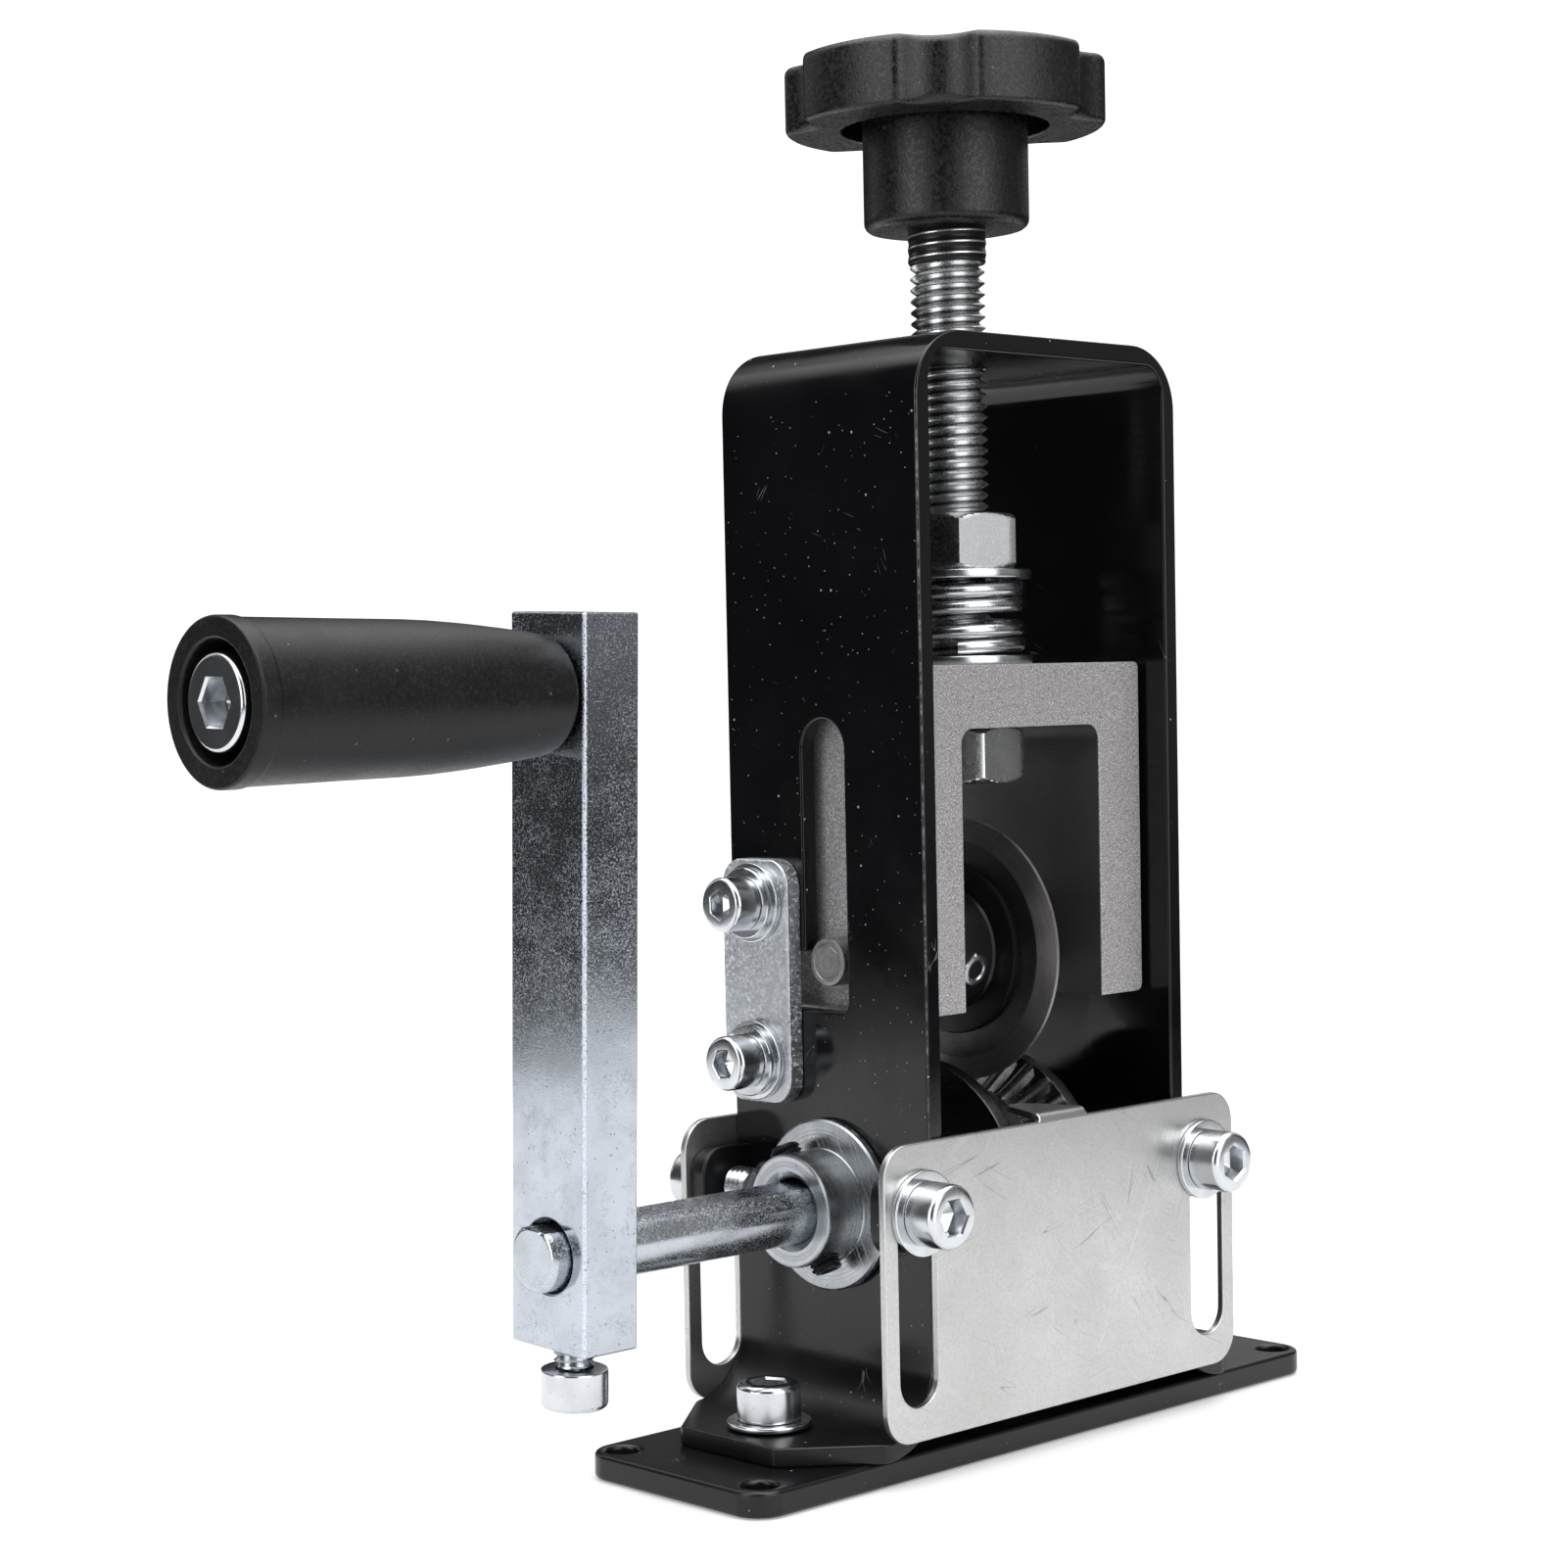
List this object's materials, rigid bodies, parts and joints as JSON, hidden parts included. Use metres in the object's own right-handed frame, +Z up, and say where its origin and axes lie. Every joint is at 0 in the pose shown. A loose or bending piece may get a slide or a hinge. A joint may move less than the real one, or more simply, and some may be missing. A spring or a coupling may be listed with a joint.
{
  "type": "hand crank wire stripper",
  "caption": "Bench-top hand crank wire stripper: a cranked grooved feed roller under a spring-pressed slitting blade in a bent strip frame with a screw-down knob.",
  "frame": {"origin": "middle of the base plate's four-hole pattern, on the plate's underside", "axes": "+X across the frame away from the crank, +Y to the back, +Z up along the pressure screw"},
  "size_m": [0.2065, 0.0578, 0.2169],
  "materials": {
    "frame_paint": "gloss",
    "zinc_steel": "satin",
    "shaft_steel": "satin",
    "roller_steel": "satin",
    "guide_steel": "satin",
    "dark_steel": "satin",
    "blade_steel": "satin",
    "spring_steel": "satin",
    "yoke_metal": "matte",
    "knob_plastic": "matte",
    "grip_rubber": "matte"
  },
  "bodies": {
    "frame": {"base_plate": "frame_paint", "frame_channel": "frame_paint", "foot_screws": "zinc_steel", "foot_washers": "zinc_steel", "left_link_plate": "zinc_steel", "right_link_plate": "zinc_steel", "link_screws": "zinc_steel", "link_washers": "zinc_steel", "link_spring_washers": "zinc_steel", "guide_screws": "zinc_steel", "guide_washers": "zinc_steel"},
    "crank": {"drive_shaft": "shaft_steel", "left_hub": "shaft_steel", "right_hub": "shaft_steel", "hub_grub_screws": "dark_steel", "feed_roller": "roller_steel", "shaft_spacers": "shaft_steel", "crank_arm": "zinc_steel", "arm_clamp_screw": "zinc_steel", "handle_bolt": "zinc_steel"},
    "grip": {"handle_grip": "grip_rubber"},
    "spring_seat": {"upper_washer": "zinc_steel", "pressure_spring": "spring_steel"},
    "screw": {"star_knob": "knob_plastic", "threaded_rod": "zinc_steel", "upper_nut": "zinc_steel", "lower_nut": "zinc_steel"},
    "yoke": {"yoke": "yoke_metal", "lower_washer": "zinc_steel"},
    "blade": {"blade_axle": "shaft_steel", "blade_hub": "dark_steel", "blade_grub_screw": "shaft_steel", "slitting_blade": "blade_steel", "blade_spacers": "dark_steel"},
    "front_guide": {"front_guide_plate": "guide_steel"},
    "rear_guide": {"rear_guide_plate": "guide_steel"}
  },
  "joints": [
    {"name": "crank_turn", "type": "hinge", "parent": "frame", "child": "crank", "pos_m": [0, 0, 0.0392], "axis": [1, 0, 0], "continuous": true},
    {"name": "grip_spin", "type": "hinge", "parent": "crank", "child": "grip", "pos_m": [-0.1, -0.00305, 0.11854], "axis": [1, 0, 0], "continuous": true},
    {"name": "pressure_lift", "type": "slide", "parent": "frame", "child": "spring_seat", "axis": [0, 0, 1], "range_m": [-0.0009, 0.022]},
    {"name": "knob_turn", "type": "hinge", "parent": "spring_seat", "child": "screw", "pos_m": [0, 0, 0.19], "axis": [0, 0, 1], "range_deg": [-186, 4527]},
    {"name": "yoke_float", "type": "slide", "parent": "spring_seat", "child": "yoke", "axis": [0, 0, 1], "range_m": [0, 0.0018], "stiffness_N_per_m": 7000, "deforming": ["pressure_spring"]},
    {"name": "blade_spin", "type": "hinge", "parent": "yoke", "child": "blade", "pos_m": [0, 0, 0.0765], "axis": [1, 0, 0], "continuous": true},
    {"name": "front_guide_slide", "type": "slide", "parent": "frame", "child": "front_guide", "axis": [0, 0, 1], "range_m": [-0.0016, 0.003]},
    {"name": "rear_guide_slide", "type": "slide", "parent": "frame", "child": "rear_guide", "axis": [0, 0, 1], "range_m": [-0.0016, 0.003]}
  ],
  "couplings": [
    {"joint": "knob_turn", "follows": "pressure_lift", "rad_per_m": 3590.4}
  ]
}
